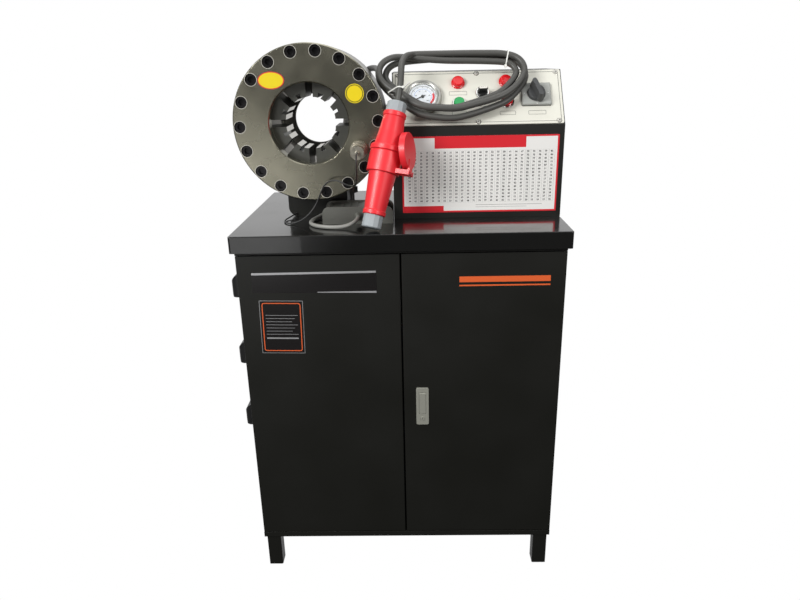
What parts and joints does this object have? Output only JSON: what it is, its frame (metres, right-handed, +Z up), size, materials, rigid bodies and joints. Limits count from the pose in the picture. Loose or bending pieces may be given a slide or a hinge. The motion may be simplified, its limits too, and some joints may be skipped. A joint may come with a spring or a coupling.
{
  "type": "hose crimping machine",
  "caption": "Bench hydraulic crimping press on a steel cabinet: a round head closes radial shoes on a hose fitting; with control box, foot pedal, die drawers and supply plug.",
  "frame": {"origin": "on the floor, under the middle of the machine's width and depth", "axes": "+Z up, +X to the right as one faces the doors, +Y from the doors to the back"},
  "size_m": [0.706, 0.48, 1.1635],
  "materials": {
    "cabinet_black": "satin",
    "worktop_black": "gloss",
    "panel_ivory": "satin",
    "steel": "machined",
    "dark_steel": "blackened",
    "zinc": "plated",
    "chrome": "polished",
    "aluminium": "turned",
    "black_plastic": "moulded",
    "grey_plastic": "moulded",
    "red_plastic": "moulded",
    "green_plastic": "moulded",
    "gland_grey": "moulded",
    "pedal_grey": "hammered",
    "cable_black": "matt",
    "cable_grey": "matt",
    "glass": "clear",
    "tank_paint": "satin"
  },
  "bodies": {
    "cabinet": {"worktop": "worktop_black", "carcass": "cabinet_black", "legs": "cabinet_black", "hinge_pins": "zinc", "drawer_runners": "zinc", "head_ring": "steel", "ring_bolts": "dark_steel", "cylinder_body": "steel", "saddle": "cabinet_black", "limit_sensor": "aluminium", "pressure_pipe": "zinc", "oil_tank": "tank_paint", "motor": "tank_paint", "pump": "aluminium", "valve_block": "zinc", "control_box": "cabinet_black", "control_panel": "panel_ivory", "gauge_case": "chrome", "gauge_glass": "glass", "pilot_lamps": "red_plastic", "button_bezels": "chrome", "switch_base": "grey_plastic", "cable_gland": "grey_plastic", "pedal_base": "pedal_grey", "coupler": "red_plastic", "plug": "red_plastic", "gland_nuts": "gland_grey", "supply_coil": "cable_black", "supply_lead": "cable_black", "supply_tail": "cable_black", "pedal_cable": "cable_grey", "sensor_wire": "cable_black"},
    "left_leaf": {"left_door": "cabinet_black"},
    "right_leaf": {"right_door": "cabinet_black", "lock_plate": "chrome"},
    "lock_handle": {"lock_paddle": "chrome"},
    "piston": {"cone_piston": "dark_steel"},
    "tank_filler": {"tank_cap": "black_plastic"},
    "needle": {"gauge_needle": "black_plastic"},
    "start_button": {"green_button": "green_plastic"},
    "stop_button": {"red_button": "red_plastic"},
    "selector": {"selector_knob": "black_plastic"},
    "main_switch": {"switch_knob": "black_plastic"},
    "treadle": {"pedal_treadle": "pedal_grey"},
    "lid": {"coupler_lid": "red_plastic"},
    "top_drawer": {"drawer_top": "cabinet_black", "pull_top": "black_plastic"},
    "middle_drawer": {"drawer_middle": "cabinet_black", "pull_middle": "black_plastic"},
    "bottom_drawer": {"drawer_bottom": "cabinet_black", "pull_bottom": "black_plastic"},
    "jaw_1": {"shoe_1": "dark_steel"},
    "jaw_2": {"shoe_2": "dark_steel"},
    "jaw_3": {"shoe_3": "dark_steel"},
    "jaw_4": {"shoe_4": "dark_steel"},
    "jaw_5": {"shoe_5": "dark_steel"},
    "jaw_6": {"shoe_6": "dark_steel"},
    "jaw_7": {"shoe_7": "dark_steel"},
    "jaw_8": {"shoe_8": "dark_steel"}
  },
  "joints": [
    {"name": "right_door_hinge", "type": "hinge", "parent": "cabinet", "child": "right_leaf", "pos_m": [0.336, -0.2175, 0.43], "axis": [0, 0, 1], "range_deg": [0, 110]},
    {"name": "left_door_hinge", "type": "hinge", "parent": "cabinet", "child": "left_leaf", "pos_m": [-0.31, -0.2175, 0.43], "axis": [0, 0, -1], "range_deg": [0, 110]},
    {"name": "lock_paddle_hinge", "type": "hinge", "parent": "right_leaf", "child": "lock_handle", "pos_m": [0.054, -0.228, 0.4525], "axis": [-1, 0, 0], "range_deg": [0, 35], "stiffness_Nm_per_rad": 0.03},
    {"name": "top_drawer_slide", "type": "slide", "parent": "cabinet", "child": "top_drawer", "axis": [-1, 0, 0], "range_m": [0, 0.13]},
    {"name": "middle_drawer_slide", "type": "slide", "parent": "cabinet", "child": "middle_drawer", "axis": [-1, 0, 0], "range_m": [0, 0.13]},
    {"name": "bottom_drawer_slide", "type": "slide", "parent": "cabinet", "child": "bottom_drawer", "axis": [-1, 0, 0], "range_m": [0, 0.13]},
    {"name": "piston_slide", "type": "slide", "parent": "cabinet", "child": "piston", "axis": [0, -1, 0], "range_m": [0, 0.046], "stiffness_N_per_m": 2000},
    {"name": "jaw_1_slide", "type": "slide", "parent": "cabinet", "child": "jaw_1", "axis": [-0.9239, 0, -0.3827], "range_m": [0, 0.01675]},
    {"name": "jaw_2_slide", "type": "slide", "parent": "cabinet", "child": "jaw_2", "axis": [-0.3827, 0, -0.9239], "range_m": [0, 0.01675]},
    {"name": "jaw_3_slide", "type": "slide", "parent": "cabinet", "child": "jaw_3", "axis": [0.3827, 0, -0.9239], "range_m": [0, 0.01675]},
    {"name": "jaw_4_slide", "type": "slide", "parent": "cabinet", "child": "jaw_4", "axis": [0.9239, 0, -0.3827], "range_m": [0, 0.01675]},
    {"name": "jaw_5_slide", "type": "slide", "parent": "cabinet", "child": "jaw_5", "axis": [0.9239, 0, 0.3827], "range_m": [0, 0.01675]},
    {"name": "jaw_6_slide", "type": "slide", "parent": "cabinet", "child": "jaw_6", "axis": [0.3827, 0, 0.9239], "range_m": [0, 0.01675]},
    {"name": "jaw_7_slide", "type": "slide", "parent": "cabinet", "child": "jaw_7", "axis": [-0.3827, 0, 0.9239], "range_m": [0, 0.01675]},
    {"name": "jaw_8_slide", "type": "slide", "parent": "cabinet", "child": "jaw_8", "axis": [-0.9239, 0, 0.3827], "range_m": [0, 0.01675]},
    {"name": "tank_cap_pull", "type": "slide", "parent": "cabinet", "child": "tank_filler", "axis": [0, 0, 1], "range_m": [0, 0.05]},
    {"name": "needle_turn", "type": "hinge", "parent": "cabinet", "child": "needle", "pos_m": [0.063, -0.06919, 1.05517], "axis": [0, 0.7986, -0.6018], "range_deg": [0, 270]},
    {"name": "green_press", "type": "slide", "parent": "cabinet", "child": "start_button", "axis": [0, 0.7986, -0.6018], "range_m": [0, 0.004], "stiffness_N_per_m": 600},
    {"name": "red_press", "type": "slide", "parent": "cabinet", "child": "stop_button", "axis": [0, 0.7986, -0.6018], "range_m": [0, 0.004], "stiffness_N_per_m": 600},
    {"name": "selector_turn", "type": "hinge", "parent": "cabinet", "child": "selector", "pos_m": [0.187, -0.05726, 1.0587], "axis": [0, -0.7986, 0.6018], "range_deg": [-45, 45]},
    {"name": "main_switch_turn", "type": "hinge", "parent": "cabinet", "child": "main_switch", "pos_m": [0.297, -0.06147, 1.05311], "axis": [0, 0.7986, -0.6018], "range_deg": [0, 90]},
    {"name": "treadle_hinge", "type": "hinge", "parent": "cabinet", "child": "treadle", "pos_m": [-0.1355, -0.107, 0.8305], "axis": [0, 1, 0], "range_deg": [0, 5], "stiffness_Nm_per_rad": 3},
    {"name": "coupler_lid_hinge", "type": "hinge", "parent": "cabinet", "child": "lid", "pos_m": [0.03306, -0.20221, 0.91868], "axis": [0.3069, 0.8767, -0.3704], "range_deg": [0, 25]}
  ],
  "couplings": [
    {"joint": "jaw_1_slide", "follows": "piston_slide", "ratio": 0.36397},
    {"joint": "jaw_2_slide", "follows": "piston_slide", "ratio": 0.36397},
    {"joint": "jaw_3_slide", "follows": "piston_slide", "ratio": 0.36397},
    {"joint": "jaw_4_slide", "follows": "piston_slide", "ratio": 0.36397},
    {"joint": "jaw_5_slide", "follows": "piston_slide", "ratio": 0.36397},
    {"joint": "jaw_6_slide", "follows": "piston_slide", "ratio": 0.36397},
    {"joint": "jaw_7_slide", "follows": "piston_slide", "ratio": 0.36397},
    {"joint": "jaw_8_slide", "follows": "piston_slide", "ratio": 0.36397}
  ]
}
